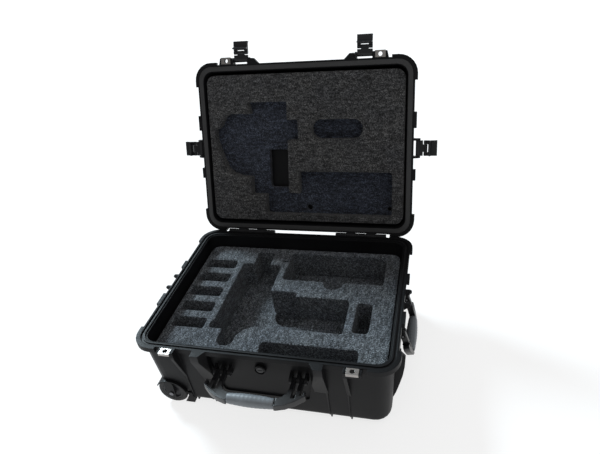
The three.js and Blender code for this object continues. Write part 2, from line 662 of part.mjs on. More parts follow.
// Puts something made for the middle of the front rim at each of the four latch places.
const LATCH_PLACES = [
  { name: 'front_left', turn: 0, x: -LATCH_X, y: 0 },
  { name: 'front_right', turn: 0, x: LATCH_X, y: 0 },
  { name: 'left_end', turn: -90, x: -(RIM_HALF_WIDTH - RIM_HALF_DEPTH), y: LATCH_END_Y },
  { name: 'right_end', turn: 90, x: RIM_HALF_WIDTH - RIM_HALF_DEPTH, y: LATCH_END_Y },
];

const atLatch = (solid, place) => solid.rotate([0, 0, place.turn]).translate([place.x, place.y, 0]);

function lidPadlockBoss() {
  const boss = prismZ(shapeOf([
    [PLATE_X[0] - 1.4, -205], [PLATE_X[0] - 1.4, PADLOCK_FRONT],
    [PADLOCK_OUTER, PADLOCK_FRONT], [BOSS_X[1], -205],
  ]), [LID_RIM + PLATE + GAP, LID_RIM + FLANGE]);
  const gusset = prismZ(shapeOf([
    [COLUMN_X[0], -205], [COLUMN_X[0], -RIM_HALF_DEPTH], [COLUMN_X[0] + 13, -225.5],
    [COLUMN_X[1] - 5, -226], [COLUMN_X[1] - 5, -205],
  ]), [LID_RIM, LID_RIM + FLANGE]);
  const hole = rod('z', PADLOCK_HOLE, [LID_RIM - 1, LID_RIM + FLANGE + 1], [PADLOCK_X, PADLOCK_Y], 16);
  return join(boss, gusset).subtract(hole);
}

// Raised bands that run over the lid from front to back, and a plain raised panel between them.
function lidBands() {
  const top = LID_TOP + LID_BAND_RISE;
  const band = shapeOf([
    [-196, 204], [-209, 204], [-204, top - 14], [-194, top - 3], [-184, top],
    [184, top], [194, top - 3], [204, top - 14], [209, 204], [196, 204]]);
  const ends = shapeOf([
    [-256, 204], [-268, 204], [-263, top - 14], [-253, top - 3], [-243, top],
    [-150, top], [-150, LID_TOP - 3], [-256, LID_TOP - 3]]);
  return join(
    bothX(prismX(band, [LATCH_X - 26, LATCH_X + 26])),
    bothX(prismY(ends, [-30, 26])),
    rectangle([-95, 95], [-120, 120], 20, [LID_TOP - 3, LID_TOP + 3]));
}

function lidShell() {
  const webs = shapeOf([
    [206, LID_RIM], [HINGE_Y - 6, LID_RIM], [HINGE_Y - 5, HINGE_Z], [HINGE_Y, HINGE_Z],
    [HINGE_Y + 4, HINGE_Z + 4], [HINGE_Y - 2, HINGE_Z + 11], [206, HINGE_Z + 11]]);
  const skin = join(
    lidOutside(),
    rimFlange([LID_RIM, LID_RIM + FLANGE]),
    bothX(lidPadlockBoss()),
    bothX(join(...knuckles(1, webs))),
    lidBands(),
    ...LATCH_PLACES.map((place) => atLatch(latchLugs(), place)));
  const ceiling = RIM_HEIGHT + LID_DEPTH;
  const cavity = loft([
    lidRing(RIM_HEIGHT - 1, 0),
    lidRing(ceiling - LID_CHAMFER, 0),
    lidRing(ceiling, 0, LID_CHAMFER)]);
  return cut(
    skin,
    cavity,
    sealBand([RIM_HEIGHT - 1, LID_RIM + SEAL_GROOVE]),
    knuckleRelief(0).add(knuckleRelief(2)).subtract(bothX(join(...knuckles(1, webs)))),
    hingeBore());
}

// The seal fills the lid's groove and stands down to the bead of the base rim.
const lidSeal = () => sealBand([RIM_HEIGHT - BEAD_DROP + GAP, LID_RIM + SEAL_GROOVE - GAP], GAP);

// A bent steel plate on a padlock boss: a flat with the padlock hole and a lip along its front.
function padlockPlate(flat, lip) {
  const front = PADLOCK_FRONT - PLATE;
  const bent = join(block(PLATE_X, [front, -213.4], flat), block(PLATE_X, [front, PADLOCK_FRONT], lip));
  return bent.subtract(rod('z', PADLOCK_HOLE - 0.3, [150, 230], [PADLOCK_X, PADLOCK_Y], 16));
}

// ---- latches, closed, at the middle of the front rim ----------------------------------------
const LATCH_Y = -RIM_HALF_DEPTH - LATCH_OUT;
const UPPER_Z = RIM_HEIGHT + LATCH_UPPER;
const LOWER_Z = RIM_HEIGHT + LATCH_LOWER;

function latchArm() {
  const plate = block([-LATCH_HALF, LATCH_HALF], [LATCH_Y - 3, LATCH_Y + 3], [RIM_HEIGHT + 1, UPPER_Z]);
  const rim = block([-LATCH_HALF + 4, LATCH_HALF - 4], [LATCH_Y - 4.2, LATCH_Y], [RIM_HEIGHT + 3, UPPER_Z - 4]);
  const body = join(
    plate,
    rim,
    rod('x', 5, [-LATCH_HALF, LATCH_HALF], [LATCH_Y, UPPER_Z]),
    rod('x', 4.5, [-ARM_TONGUE, ARM_TONGUE], [LATCH_Y, LOWER_Z], 10),
    block([-ARM_TONGUE, ARM_TONGUE], [LATCH_Y - 3, LATCH_Y + 3], [LOWER_Z, RIM_HEIGHT + 2]));
  return cut(
    body,
    rod('x', UPPER_PIN + GAP, LATCH_SPAN, [LATCH_Y, UPPER_Z], 8),
    rod('x', LOWER_PIN + GAP, LATCH_SPAN, [LATCH_Y, LOWER_Z], 8));
}

function latchLever() {
  const tip = RIM_HEIGHT + LATCH_TIP;
  const profile = shapeOf([
    [LATCH_Y + 3, LOWER_Z - 6], [LATCH_Y + 3, RIM_HEIGHT - 13], [LATCH_Y + 13, RIM_HEIGHT - 13],
    [LATCH_Y + 13, RIM_HEIGHT - 15.5], [LATCH_Y + 3, RIM_HEIGHT - 19], [LATCH_Y + 2, tip],
    [LATCH_Y - 8, tip], [LATCH_Y - 8, tip + 3], [LATCH_Y - 4, tip + 5], [LATCH_Y - 4, LOWER_Z - 6]]);
  const body = join(
    prismX(profile, [-LATCH_HALF, LATCH_HALF]),
    bothX(rod('x', 4.5, [ARM_TONGUE + 0.4, LATCH_HALF], [LATCH_Y, LOWER_Z], 10)),
    bothX(block([ARM_TONGUE + 0.4, LATCH_HALF], [LATCH_Y - 4, LATCH_Y + 3], [LOWER_Z - 7, LOWER_Z])));
  return body.subtract(rod('x', LOWER_PIN + GAP, LATCH_SPAN, [LATCH_Y, LOWER_Z], 8));
}

// Groups that turn about a line along X through (y, z), for pieces made in the row's own place.
function turnedAboutX(y, z, angle) {
  const pivot = new THREE.Group();
  pivot.position.set(0, y, z);
  pivot.rotation.x = angle;
  const inner = new THREE.Group();
  inner.position.set(0, -y, -z);
  pivot.add(inner);
  return [pivot, inner];
}

function latch(place) {
  const group = new THREE.Group();
  group.position.set(place.x, place.y, 0);
  group.rotation.z = radians(place.turn);
  const [pivot, open] = turnedAboutX(LATCH_Y, UPPER_Z, -RIGHT_ANGLE);
  const reach = LATCH_HALF + LATCH_LUG;
  const upperPin = rod('x', UPPER_PIN, [-reach, reach], [LATCH_Y, UPPER_Z], 8);
  const lowerPin = rod('x', LOWER_PIN, [-LATCH_HALF + 0.2, LATCH_HALF - 0.2], [LATCH_Y, LOWER_Z], 8);
  open.add(piece(`latch_arm_${place.name}`, latchArm(), 'latch'));
  open.add(piece(`latch_pin_${place.name}`, lowerPin, 'steel'));
  open.add(piece(`latch_lever_${place.name}`, latchLever(), 'latch'));
  group.add(pivot, piece(`latch_hinge_pin_${place.name}`, upperPin, 'steel'));
  return group;
}

// ---- handles, hanging in front of the front wall --------------------------------------------
const HANDLE_THICK = 7; // half thickness
const HANDLE_EYE = 6.2; // radius round the pins
const GRIP_CORE = GRIP_RADIUS - 5;

// The plastic frame: fingers up to the pins at each side, and a bar between their lower ends.
function handleFrame(pivotY, size) {
  const low = HANDLE_PIVOT_Z - HANDLE_REACH;
  const shoulder = low + 33;
  const inner = size.fingers[0][0];
  const bend = (HANDLE_NECK + size.half) / 2;
  const outline = new THREE.Shape();
  outline.moveTo(-HANDLE_NECK, low - 10);
  outline.lineTo(HANDLE_NECK, low - 10);
  outline.quadraticCurveTo(bend, low - 6, size.half, low + 20);
  outline.lineTo(size.half, shoulder - 4);
  outline.lineTo(size.half - 3, shoulder);
  outline.lineTo(inner, shoulder);
  outline.quadraticCurveTo(inner - 4, low + 12, HANDLE_NECK, low + 10);
  outline.lineTo(-HANDLE_NECK, low + 10);
  outline.quadraticCurveTo(-inner + 4, low + 12, -inner, shoulder);
  outline.lineTo(-size.half + 3, shoulder);
  outline.lineTo(-size.half, shoulder - 4);
  outline.lineTo(-size.half, low + 20);
  outline.quadraticCurveTo(-bend, low - 6, -HANDLE_NECK, low - 10);
  const thick = [pivotY - HANDLE_THICK, pivotY + HANDLE_THICK];
  const fingers = size.fingers.map((x) => join(
    rod('x', HANDLE_EYE, x, [pivotY, HANDLE_PIVOT_Z]),
    prismX(shapeOf([
      [pivotY - HANDLE_EYE, HANDLE_PIVOT_Z], [thick[0], low + 25],
      [thick[1], low + 25], [pivotY + HANDLE_EYE, HANDLE_PIVOT_Z]]), x)));
  const slots = size.slots.map(([left, right, foot]) => block(
    [left, right], [thick[0] - 1, thick[1] + 1], [low + foot, shoulder + 1]));
  const neck = block([-GRIP_HALF - GAP, GRIP_HALF + GAP], [pivotY - 20, pivotY + 20], [low - 20, low + 20]);
  const core = rod('x', GRIP_CORE, [-GRIP_HALF - 3, GRIP_HALF + 3], [pivotY, low], 12);
  const bores = rod('x', HANDLE_PIN + GAP, [size.pin[0] - 2, size.pin[1] + 2], [pivotY, HANDLE_PIVOT_Z], 8);
  const bar = cut(prismY(outline, thick), neck, bothX(join(...slots))).add(core);
  return join(bar, bothX(join(...fingers))).subtract(bothX(bores));
}

function handleGrip(pivotY) {
  const low = HANDLE_PIVOT_Z - HANDLE_REACH;
  const sleeve = rod('x', GRIP_RADIUS, [-GRIP_HALF, GRIP_HALF], [pivotY, low], 20);
  return sleeve.subtract(rod('x', GRIP_CORE + GAP, [-GRIP_HALF - 1, GRIP_HALF + 1], [pivotY, low], 12));
}

// A handle in front of the front wall, lifted about its pins.
function handle(prefix, pivotOut, size) {
  const [pivot, inner] = turnedAboutX(-pivotOut, HANDLE_PIVOT_Z, -radians(size.lift));
  inner.add(piece(`${prefix}_handle`, handleFrame(-pivotOut, size), 'latch'));
  inner.add(piece(`${prefix}_handle_grip`, handleGrip(-pivotOut), 'grip'));
  const pin = rod('x', HANDLE_PIN, size.pin, [-pivotOut, HANDLE_PIVOT_Z], 8);
  const group = new THREE.Group();
  group.add(
    pivot,
    piece(`${prefix}_handle_pin_left`, mirrorX(pin), 'steel'),
    piece(`${prefix}_handle_pin_right`, pin, 'steel'));
  return group;
}

// ---- wheels -------------------------------------------------------------------------------
// Made at the back (+Y) corner; side is +1 for the back and -1 for the front.
function wheelPieces(side, name) {
  const place = (solid) => (side > 0 ? solid : mirrorY(solid));
  const centre = [WHEEL_X, WHEEL_Z];
  const bore = rod('y', AXLE_RADIUS + GAP, [150, 220], centre, 10);
  const plateBack = WELL_IN + HOUSING_PLATE;
  const ring = cut(
    rod('y', WELL_RADIUS - GAP, [WELL_IN + GAP, HOUSING_OUT], centre, 24),
    rod('y', WHEEL_RADIUS + 1.5, [plateBack, 220], centre, 24),
    block([-290, -170], [160, 220], [-20, WHEEL_Z + 8]),
    block([-290, WHEEL_X - 30.5], [160, 220], [-20, 90]));
  const backPlate = cut(
    rod('y', WELL_RADIUS - GAP, [WELL_IN + GAP, plateBack], centre, 24),
    block([-290, -170], [160, 220], [-20, 8]));
  const tongue = prismY(
    roundedRect(WHEEL_X - 13, WHEEL_X + 9, WHEEL_Z - 14, WHEEL_Z + WHEEL_RADIUS + 2.5, 8),
    [WHEEL_OUT + 2.6, HOUSING_OUT]);
  const bracket = join(ring, backPlate, tongue.intersect(rod('y', WELL_RADIUS - GAP, [200, 210], centre, 24)));
  const housing = bracket.subtract(bore);
  const hub = cut(
    rod('y', HUB_RADIUS, [WHEEL_IN + 0.5, WHEEL_OUT - 0.5], centre, 20),
    rod('y', HUB_RADIUS - 4, [WHEEL_OUT - 4, WHEEL_OUT + 1], centre, 20)
      .subtract(rod('y', 8, [WHEEL_OUT - 5, WHEEL_OUT + 2], centre)),
    bore);
  const tread = new THREE.CylinderGeometry(WHEEL_RADIUS - 1.5, WHEEL_RADIUS, 3, 24)
    .translate(WHEEL_X, WHEEL_OUT - 1.5, WHEEL_Z);
  const innerTread = new THREE.CylinderGeometry(WHEEL_RADIUS, WHEEL_RADIUS - 1.5, 3, 24)
    .translate(WHEEL_X, WHEEL_IN + 1.5, WHEEL_Z);
  const tyre = join(
    rod('y', WHEEL_RADIUS, [WHEEL_IN + 2.9, WHEEL_OUT - 2.9], centre, 24), solidOf(tread), solidOf(innerTread))
    .subtract(rod('y', HUB_RADIUS + GAP, [150, 220], centre, 20));
  const axle = join(
    rod('y', AXLE_RADIUS, [WELL_IN + 0.6, HOUSING_OUT + 1], centre, 10),
    rod('y', AXLE_RADIUS + 2, [HOUSING_OUT + GAP, HOUSING_OUT + 2.5], centre));
  return [
    piece(`wheel_housing_${name}`, place(housing), 'shell'),
    piece(`wheel_hub_${name}`, place(hub), 'wheel'),
    piece(`wheel_tyre_${name}`, place(tyre), 'tyre'),
    piece(`wheel_axle_${name}`, place(axle), 'steel'),
  ];
}

// ---- trolley ------------------------------------------------------------------------------
// A rectangular tube along X; number picks its size, and the inner tube is the smallest.
function trolleyTube(side, number) {
  const [width, height] = TUBE_SIZES[number];
  const [y, z] = [side * TROLLEY_Y, TROLLEY_Z];
  const span = [TUBE_LEFT[number], TUBE_RIGHT[number]];
  const [halfWidth, halfHeight] = [width / 2, height / 2];
  const outer = block(span, [y - halfWidth, y + halfWidth], [z - halfHeight, z + halfHeight]);
  const hollow = block([span[0] - 1, span[1] + 1],
    [y - halfWidth + TUBE_WALL, y + halfWidth - TUBE_WALL],
    [z - halfHeight + TUBE_WALL, z + halfHeight - TUBE_WALL]);
  return outer.subtract(hollow);
}

const BUTTON_Y = 13;
const BUTTON_Z = [7.8, 15.4];

function trolleyGrip() {
  const bar = prismX(roundedRect(-GRIP_BAR_HALF, GRIP_BAR_HALF, GRIP_BAR_Z[0], GRIP_BAR_Z[1], 6), GRIP_BAR_X);
  const [width, height] = TUBE_SIZES[2];
  const socket = block([GRIP_BAR_X[0] - 1, TUBE_RIGHT[2] + GAP],
    [TROLLEY_Y - width / 2 - GAP, TROLLEY_Y + width / 2 + GAP],
    [TROLLEY_Z - height / 2 - GAP, TROLLEY_Z + height / 2 + GAP]);
  const buttonWell = block([GRIP_BAR_X[1] - 9, GRIP_BAR_X[1] + 1], [-BUTTON_Y, BUTTON_Y], BUTTON_Z);
  return cut(bar, bothY(socket), buttonWell);
}

function trolleyButton() {
  const z = [BUTTON_Z[0] + GAP, BUTTON_Z[1] - GAP];
  const face = roundedRect(-BUTTON_Y + GAP, BUTTON_Y - GAP, z[0], z[1], 3);
  return prismX(face, [GRIP_BAR_X[1] - 4.5, GRIP_BAR_X[1] + 3]);
}

const trolleyCover = () => block(
  [CHANNEL_LEFT + GAP, CHANNEL_RIGHT - 2], [-CHANNEL_HALF + GAP, CHANNEL_HALF - GAP], [0, 3]);

// ---- small fittings -----------------------------------------------------------------------
function valveBody() {
  return join(
    rod('y', VALVE_BODY, [-203.5, -199.9], [0, VALVE_Z], 18),
    rod('y', VALVE_STEM, [-201, -191.5], [0, VALVE_Z], 12));
}

function valveCap() {
  const cap = rod('y', VALVE_BODY - 2.2, [-206, -203.8], [0, VALVE_Z], 18);
  return cut(cap, block([-5, 5], [-207, -205], [VALVE_Z - 1.2, VALVE_Z + 1.2]));
}

const hingePin = (side) => rod(
  'x', HINGE_PIN, side > 0 ? [HINGE_INNER, HINGE_OUTER] : [-HINGE_OUTER, -HINGE_INNER], [HINGE_Y, HINGE_Z], 8);

// ---- assembly -----------------------------------------------------------------------------
function lidAssembly() {
  const [pivot, lid] = turnedAboutX(HINGE_Y, HINGE_Z, -radians(LID_OPEN_DEG));
  const plate = padlockPlate([LID_RIM, LID_RIM + PLATE], [LID_RIM, LID_RIM + PLATE_LIP]);
  lid.add(
    piece('lid_shell', lidShell(), 'shell'),
    piece('lid_seal', lidSeal(), 'seal'),
    piece('lid_foam', lidFoam(), 'lidFoam'),
    piece('lid_foam_backing', lidFoamBacking(), 'deepFoam'),
    piece('padlock_plate_lid_right', plate, 'steel'),
    piece('padlock_plate_lid_left', mirrorX(plate), 'steel'),
    ...LATCH_PLACES.map(latch));
  return pivot;
}

function baseAssembly() {
  const base = new THREE.Group();
  const plate = padlockPlate([RIM_HEIGHT - PLATE, RIM_HEIGHT], [RIM_HEIGHT - PLATE_LIP, RIM_HEIGHT]);
  base.add(
    piece('base_shell', baseShell(), 'shell'),
    piece('base_foam', baseFoam(), 'foam'),
    piece('base_foam_pad', baseFoamPad(), 'foam'),
    piece('padlock_plate_base_right', plate, 'steel'),
    piece('padlock_plate_base_left', mirrorX(plate), 'steel'),
    piece('valve_body', valveBody(), 'latch'),
    piece('valve_cap', valveCap(), 'latch'),
    piece('hinge_pin_left', hingePin(-1), 'steel'),
    piece('hinge_pin_right', hingePin(1), 'steel'),
    piece('trolley_cover', trolleyCover(), 'shell'),
    ...wheelPieces(-1, 'front'),
    ...wheelPieces(1, 'back'));
  return base;
}

function handles() {
  const frontPivot = baseHalf(HANDLE_PIVOT_Z, WALL)[1] + HANDLE_PIVOT_OUT;
  const endPivot = baseHalf(HANDLE_PIVOT_Z, WALL)[0] + HANDLE_PIVOT_OUT;
  const end = handle('side', endPivot, SIDE_HANDLE);
  end.rotation.z = RIGHT_ANGLE;
  return [handle('front', frontPivot, FRONT_HANDLE), end];
}

function trolley() {
  const group = new THREE.Group();
  for (const [name, side] of [['front', -1], ['back', 1]]) {
    group.add(piece(`trolley_outer_tube_${name}`, trolleyTube(side, 0), 'aluminium'));
    group.add(piece(`trolley_middle_tube_${name}`, trolleyTube(side, 1), 'aluminium'));
    group.add(piece(`trolley_inner_tube_${name}`, trolleyTube(side, 2), 'aluminium'));
  }
  group.add(piece('trolley_grip', trolleyGrip(), 'latch'));
  group.add(piece('trolley_button', trolleyButton(), 'grip'));
  return group;
}

const carryingCase = new THREE.Group();
carryingCase.add(baseAssembly(), lidAssembly(), ...handles(), trolley());

export default carryingCase;
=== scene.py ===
import math

import bmesh
import bpy
from mathutils import Matrix, Vector, noise


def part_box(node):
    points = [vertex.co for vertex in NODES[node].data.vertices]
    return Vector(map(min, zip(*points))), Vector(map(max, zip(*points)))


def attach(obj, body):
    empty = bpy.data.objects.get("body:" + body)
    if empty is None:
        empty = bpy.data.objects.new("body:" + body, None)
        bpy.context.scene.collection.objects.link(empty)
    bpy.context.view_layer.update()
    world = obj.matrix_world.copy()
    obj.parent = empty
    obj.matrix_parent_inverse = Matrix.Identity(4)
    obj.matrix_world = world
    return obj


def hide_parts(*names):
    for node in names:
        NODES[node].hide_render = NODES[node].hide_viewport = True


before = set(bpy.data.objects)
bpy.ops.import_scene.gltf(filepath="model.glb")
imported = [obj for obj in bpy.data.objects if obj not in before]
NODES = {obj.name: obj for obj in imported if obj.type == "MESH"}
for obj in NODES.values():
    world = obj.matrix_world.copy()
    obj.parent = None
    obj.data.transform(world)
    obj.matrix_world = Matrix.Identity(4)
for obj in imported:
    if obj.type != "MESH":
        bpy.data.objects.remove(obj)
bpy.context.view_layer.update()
MM = 0.001
LATCHES = ("front_left", "front_right", "left_end", "right_end")
WELD_DISTANCE = 2e-5
SHARP_EDGE = math.radians(32.0)
SMOOTH_EDGE = math.radians(38.0)
BEVEL_SEGMENTS = 2
FLOOR_GLOW = 0.76
FLOOR_TONE = 0.3
WORLD_LIGHT = 0.22


# ---- camera, floor and light --------------------------------------------------------------
CAMERA_LENS = 31.06
CAMERA_TURN = (17.76, 33.02, -7.74)  # yaw, pitch and roll in degrees
CAMERA_X, CAMERA_Y = 0.3335, -0.8575
CAMERA_ABOVE_RIM = 0.748


def make_camera():
    """Stands at the front right corner, above the rim, and looks down into the open case."""
    data = bpy.data.cameras.new("camera")
    data.sensor_width = 36.0
    data.lens = CAMERA_LENS
    data.clip_end = 50.0
    camera = bpy.data.objects.new("camera", data)
    bpy.context.scene.collection.objects.link(camera)
    yaw, pitch, roll = (math.radians(turn) for turn in CAMERA_TURN)
    forward = Vector((
        -math.sin(yaw) * math.cos(pitch), math.cos(yaw) * math.cos(pitch), -math.sin(pitch)))
    level = Vector((math.cos(yaw), math.sin(yaw), 0.0))
    upright = level.cross(forward)
    right = math.cos(roll) * level + math.sin(roll) * upright
    up = right.cross(forward)
    turn = Matrix((right, up, -forward)).transposed().to_4x4()
    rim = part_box("base_shell")[1].z
    place = Vector((CAMERA_X, CAMERA_Y, rim + CAMERA_ABOVE_RIM))
    camera.matrix_world = Matrix.Translation(place) @ turn
    bpy.context.scene.camera = camera


def sun(name, towards, strength, spread_deg, colour=(1.0, 1.0, 1.0)):
    """Soft light from far away; towards points from the case to the light."""
    data = bpy.data.lights.new(name, "SUN")
    data.energy = strength
    data.angle = math.radians(spread_deg)
    data.color = colour
    light = bpy.data.objects.new(name, data)
    bpy.context.scene.collection.objects.link(light)
    light.rotation_euler = Vector(towards).to_track_quat("Z", "Y").to_euler()


def make_stage():
    """A pale floor that glows a little, even light all round and three soft suns."""
    bpy.ops.mesh.primitive_plane_add(size=30.0, location=(0.0, 0.0, -0.0005))
    floor = bpy.context.object
    floor.name = "floor"
    material = bpy.data.materials.new("floor_paper")
    material.use_nodes = True
    shader = material.node_tree.nodes["Principled BSDF"]
    shader.inputs["Base Color"].default_value = (FLOOR_TONE, FLOOR_TONE, FLOOR_TONE, 1.0)
    shader.inputs["Roughness"].default_value = 0.9
    shader.inputs["Emission Color"].default_value = (1.0, 1.0, 1.0, 1.0)
    shader.inputs["Emission Strength"].default_value = FLOOR_GLOW
    floor.data.materials.append(material)
    world = bpy.data.worlds.new("studio")
    bpy.context.scene.world = world
    world.use_nodes = True
    background = world.node_tree.nodes["Background"]
    background.inputs["Color"].default_value = (1.0, 1.0, 1.0, 1.0)
    background.inputs["Strength"].default_value = WORLD_LIGHT
    bpy.context.scene.view_settings.view_transform = "Standard"
    sun("key", (-0.64, 0.48, 0.6), 4.1, 14.0, (0.77, 0.92, 1.0))
    sun("front", (0.25, -0.62, 0.74), 0.4, 70.0, (1.0, 0.985, 0.96))
    sun("top", (0.0, 0.1, 1.0), 0.45, 100.0)


# ---- materials ----------------------------------------------------------------------------
class Build:
    """Short names for building a node tree."""

    def __init__(self, name):
        self.material = bpy.data.materials.new(name)
        self.material.use_nodes = True
        self.tree = self.material.node_tree
        self.shader = self.tree.nodes["Principled BSDF"]
        self.place = self.tree.nodes.new("ShaderNodeTexCoord").outputs["Object"]

    def node(self, kind, **values):
        made = self.tree.nodes.new(kind)
        for key, value in values.items():
            if hasattr(made, key):
                setattr(made, key, value)
            else:
                made.inputs[key.replace("_", " ")].default_value = value
        return made

    def link(self, source, target):
        self.tree.links.new(source, target)

    def colour(self, source):
        self.link(source, self.shader.inputs["Base Color"])

    def rough(self, source):
        self.link(source, self.shader.inputs["Roughness"])

    def constants(self, **values):
        for key, value in values.items():
            self.shader.inputs[key.replace("_", " ")].default_value = value

    def noise(self, scale, detail=4.0, rough=0.55, stretch=None):
        made = self.node("ShaderNodeTexNoise", Scale=scale, Detail=detail, Roughness=rough)
        if stretch is None:
            self.link(self.place, made.inputs["Vector"])
        else:
            mapping = self.node("ShaderNodeMapping")
            mapping.inputs["Scale"].default_value = stretch
            self.link(self.place, mapping.inputs["Vector"])
            self.link(mapping.outputs["Vector"], made.inputs["Vector"])
        return made.outputs["Fac"]

    def cells(self, scale):
        made = self.node("ShaderNodeTexVoronoi", feature="F1", Scale=scale)
        self.link(self.place, made.inputs["Vector"])
        return made

    def ramp(self, source, low, high, colours):
        made = self.node("ShaderNodeValToRGB")
        ends = made.color_ramp.elements
        ends[0].position, ends[1].position = low, high
        ends[0].color = (*colours[0], 1.0)
        ends[1].color = (*colours[1], 1.0)
        self.link(source, made.inputs["Fac"])
        return made.outputs["Color"]

    def spread(self, source, low, high, to_low, to_high):
        made = self.node("ShaderNodeMapRange")
        for key, value in (("From Min", low), ("From Max", high), ("To Min", to_low), ("To Max", to_high)):
            made.inputs[key].default_value = value
        self.link(source, made.inputs["Value"])
        return made.outputs["Result"]

    def mix(self, factor, first, second, blend="MIX"):
        made = self.node("ShaderNodeMix", data_type="RGBA", blend_type=blend)
        sockets = (made.inputs["Factor"], made.inputs[6], made.inputs[7])
        for value, socket in zip((factor, first, second), sockets):
            if isinstance(value, bpy.types.NodeSocket):
                self.link(value, socket)
            elif isinstance(value, tuple):
                socket.default_value = (*value, 1.0)
            else:
                socket.default_value = value
        return made.outputs[2]

    def bump(self, heights):
        """Stacks bumps, given as (height, distance in metres, strength)."""
        normal = None
        for height, distance, strength in heights:
            made = self.node("ShaderNodeBump", Distance=distance, Strength=strength)
            self.link(height, made.inputs["Height"])
            if normal is not None:
                self.link(normal, made.inputs["Normal"])
            normal = made.outputs["Normal"]
        self.link(normal, self.shader.inputs["Normal"])


def shades(colour, darker, lighter):
    """The same colour made darker and lighter."""
    return tuple(darker * part for part in colour), tuple(lighter * part for part in colour)


def edge_wear(build):
    """1 along sharp outer edges, 0 on flat faces."""
    pointiness = build.node("ShaderNodeNewGeometry").outputs["Pointiness"]
    return build.spread(pointiness, 0.53, 0.62, 0.0, 1.0)


def moulded_plastic(
        name, colour, rough, grain=1400.0, relief=0.00006, worn=(0.05, 0.05, 0.052), shine=0.16):
    """Fine-grained plastic, cloudy in tone, scuffed on its faces and paler along its edges."""
    build = Build(name)
    clouds = build.noise(9.0, 5.0)
    tone = build.ramp(clouds, 0.3, 0.7, shades(colour, 0.82, 1.2))
    scuffs = build.noise(60.0, 6.0, 0.7, (1.0, 1.0, 6.0))
    scuffed = build.mix(build.spread(scuffs, 0.62, 0.8, 0.0, 0.35), tone, worn)
    build.colour(build.mix(edge_wear(build), scuffed, worn))
    build.rough(build.spread(clouds, 0.25, 0.75, rough - 0.06, rough + 0.08))
    build.constants(Specular_IOR_Level=shine)
    build.bump([
        (build.noise(14.0, 2.0), 0.0004, 0.25),
        (build.noise(grain, 2.0), relief, 0.6),
    ])
    return build.material


FOAM_CELL = 2.4
COARSE_CELLS = 1000.0 / FOAM_CELL
FINE_CELLS = 2100.0 / FOAM_CELL
# Multipliers for painted shade in the tear grooves and a painted highlight on their ridges.
TEAR_SHADE_AND_HIGHLIGHT = ((0.42, 0.42, 0.43), (1.45, 1.45, 1.45))
DRIFT_SHADES = ((0.82, 0.83, 0.86), (1.12, 1.1, 1.06))


def foam_material(name, dark, light, grain):
    """Open-grain foam: torn cells of two sizes and tears along the grain, with painted shade in their
    hollows and painted highlight on the tear ridges.
    """
    build = Build(name)
    coarse = build.cells(COARSE_CELLS)
    fine = build.cells(FINE_CELLS)
    shade = build.node("ShaderNodeSeparateColor")
    build.link(coarse.outputs["Color"], shade.inputs["Color"])
    cells = build.ramp(shade.outputs["Red"], 0.05, 0.95, (dark, light))
    # Painted shade: the cell borders, which the bump makes hollow, are darkened.
    pit_shade = build.spread(coarse.outputs["Distance"], 0.1, 0.62, 1.0, 0.3)
    pit_shaded = build.mix(1.0, cells, pit_shade, "MULTIPLY")
    # The tear streaks are the foam's grain; painted shade darkens them where the bump makes them low and a
    # painted highlight lightens them where it makes them high.
    tears = build.noise(190.0, 4.0, 0.65, grain)
    torn = build.mix(1.0, pit_shaded, build.ramp(tears, 0.36, 0.62, TEAR_SHADE_AND_HIGHLIGHT), "MULTIPLY")
    drift = build.ramp(build.noise(16.0, 3.0), 0.3, 0.7, DRIFT_SHADES)
    build.colour(build.mix(1.0, torn, drift, "MULTIPLY"))
    build.constants(Roughness=0.88, Specular_IOR_Level=0.25, Sheen_Weight=0.1, Sheen_Roughness=0.5)
    hollow = build.spread(coarse.outputs["Distance"], 0.0, 0.7, 1.0, 0.0)
    small = build.spread(fine.outputs["Distance"], 0.0, 0.7, 1.0, 0.0)
    build.bump([(hollow, 0.0013, 0.9), (small, 0.0005, 0.7), (tears, 0.0018, 0.8)])
    return build.material


def rubber_material(name, colour, rough):
    """Soft matt rubber, a little paler along its edges."""
    build = Build(name)
    clouds = build.noise(30.0, 4.0)
    tone = build.ramp(clouds, 0.3, 0.75, shades(colour, 0.85, 1.12))
    edge = tuple(1.3 * part for part in colour)
    build.colour(build.mix(edge_wear(build), tone, edge))
    build.rough(build.spread(clouds, 0.25, 0.75, rough - 0.08, rough + 0.08))
    build.bump([(build.noise(900.0, 3.0), 0.00008, 0.6)])
    return build.material


def steel_material(name, colour, rough, stretch):
    """Brushed along one axis: fine lines by a noise stretched in that direction."""
    build = Build(name)
    lines = build.noise(700.0, 3.0, 0.6, stretch)
    smudge = build.noise(40.0, 3.0)
    build.colour(build.ramp(smudge, 0.3, 0.7, shades(colour, 0.85, 1.0)))
    build.rough(build.spread(lines, 0.3, 0.7, rough - 0.06, rough + 0.1))
    build.constants(Metallic=1.0)
    build.bump([(lines, 0.00002, 0.5)])
    return build.material


SHELL = moulded_plastic(
    "shell_plastic", (0.006, 0.0061, 0.0068), 0.45, worn=(0.02, 0.02, 0.022), shine=0.12)
LATCH = moulded_plastic(
    "latch_plastic", (0.007, 0.0075, 0.009), 0.32, 2200.0, 0.00003, (0.025, 0.025, 0.027), 0.35)
HANDLE = moulded_plastic(
    "handle_plastic", (0.007, 0.007, 0.008), 0.3, 1800.0, 0.00003, (0.03, 0.03, 0.032), 0.42)
WHEEL = moulded_plastic("wheel_plastic", (0.026, 0.026, 0.029), 0.4, 1600.0)
SEAL = rubber_material("seal_rubber", (0.02, 0.02, 0.021), 0.5)
GRIP = rubber_material("grip_rubber", (0.15, 0.163, 0.178), 0.46)
TYRE = rubber_material("tyre_rubber", (0.012, 0.012, 0.0125), 0.7)
FRONT_TO_BACK = (1.0, 0.3, 0.8)
SIDE_TO_SIDE = (0.3, 1.0, 1.0)
